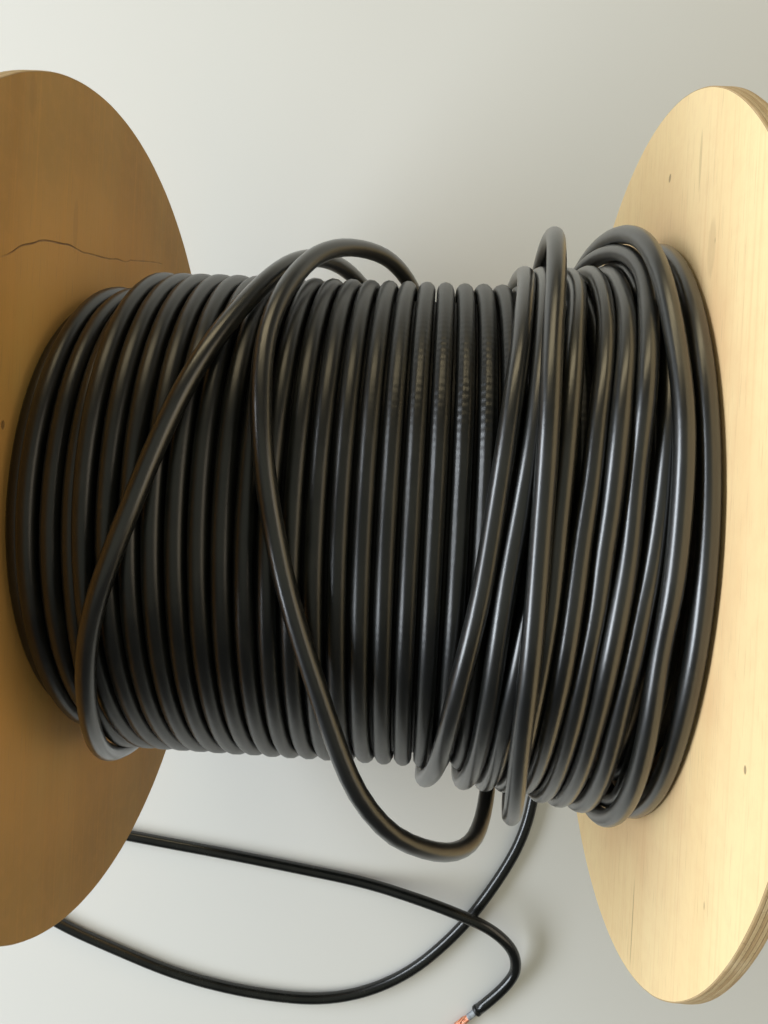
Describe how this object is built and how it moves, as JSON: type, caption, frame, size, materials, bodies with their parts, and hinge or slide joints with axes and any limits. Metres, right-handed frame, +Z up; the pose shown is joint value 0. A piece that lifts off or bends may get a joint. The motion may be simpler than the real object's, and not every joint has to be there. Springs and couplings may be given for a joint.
{
  "type": "wooden cable drum",
  "caption": "Plywood cable drum lying on its two flange rims, part full of black coaxial cable with a few loose turns and a stripped free end.",
  "frame": {"origin": "on the floor under the middle of the drum", "axes": "+X along the spindle hole towards the right flange, +Z up, -Y towards the side where the free end runs out"},
  "size_m": [0.3281, 0.4479, 0.305],
  "materials": {
    "plywood": "sanded, unfinished",
    "fibre_tube": "matte",
    "plated_steel": "zinc plated",
    "cable_jacket": "semi-gloss",
    "insulation": "satin",
    "copper": "bright"
  },
  "bodies": {
    "root": {"flange_left": "plywood", "flange_right": "plywood", "core_tube": "fibre_tube", "tie_rod_1": "plated_steel", "tie_rod_2": "plated_steel", "tie_rod_3": "plated_steel", "nuts_left": "plated_steel", "nuts_right": "plated_steel", "cable_winding": "cable_jacket", "upper_turns": "cable_jacket", "edge_turn": "cable_jacket", "crossing_turn": "cable_jacket", "hanging_turn": "cable_jacket", "tall_turn": "cable_jacket", "flange_side_turn": "cable_jacket", "free_end": "cable_jacket", "inner_insulation": "insulation", "copper_strands": "copper"}
  },
  "joints": []
}
